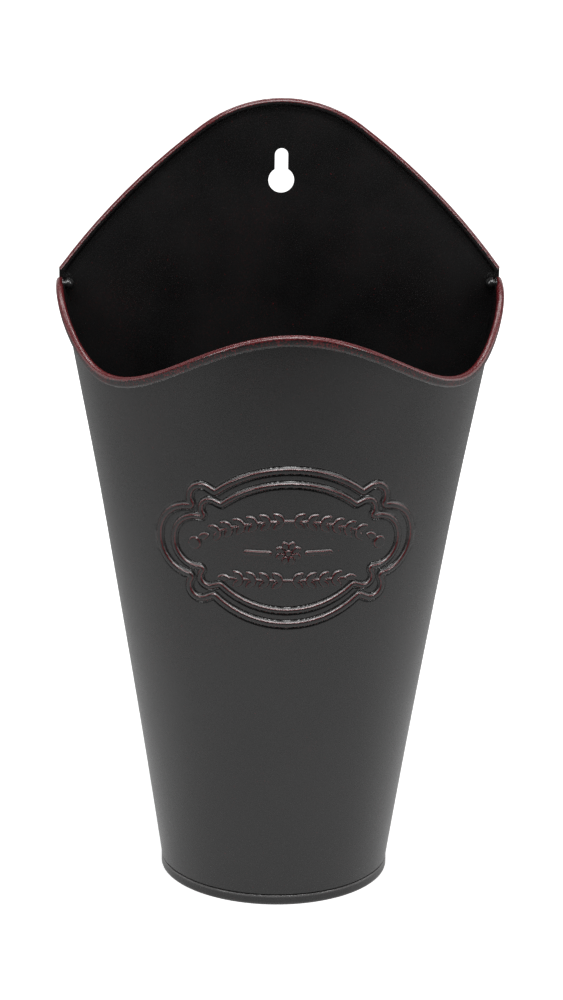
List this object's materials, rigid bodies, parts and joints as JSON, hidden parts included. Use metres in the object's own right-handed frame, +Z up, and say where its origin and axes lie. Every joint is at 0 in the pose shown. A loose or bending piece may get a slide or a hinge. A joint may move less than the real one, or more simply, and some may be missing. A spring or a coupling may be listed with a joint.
{
  "type": "wall planter",
  "caption": "Wall planter of painted sheet metal: a tapering half-round trough with a wavy rolled rim, a flat arched back plate with a keyhole, and a shallow base pan.",
  "frame": {"origin": "centre of the keyhole's round hole, on the back face of the back plate", "axes": "+Z up along the flat back plate, +Y out of its back face towards the wall, +X to the right as seen from the front, so the planter's front faces -Y"},
  "size_m": [0.2094, 0.1165, 0.3743],
  "materials": {
    "charcoal_paint": "satin charcoal paint, rubbed back to burgundy on raised edges",
    "rivet_paint": "satin charcoal paint, rubbed bright on the head",
    "wire": "plain drawn steel wire, hidden in the rolled edges"
  },
  "bodies": {
    "root": {"back_plate": "charcoal_paint", "front_shell": "charcoal_paint", "base_pan": "charcoal_paint", "rivet_left": "rivet_paint", "rivet_right": "rivet_paint", "back_rim_wire": "wire", "front_rim_wire": "wire"}
  },
  "joints": []
}
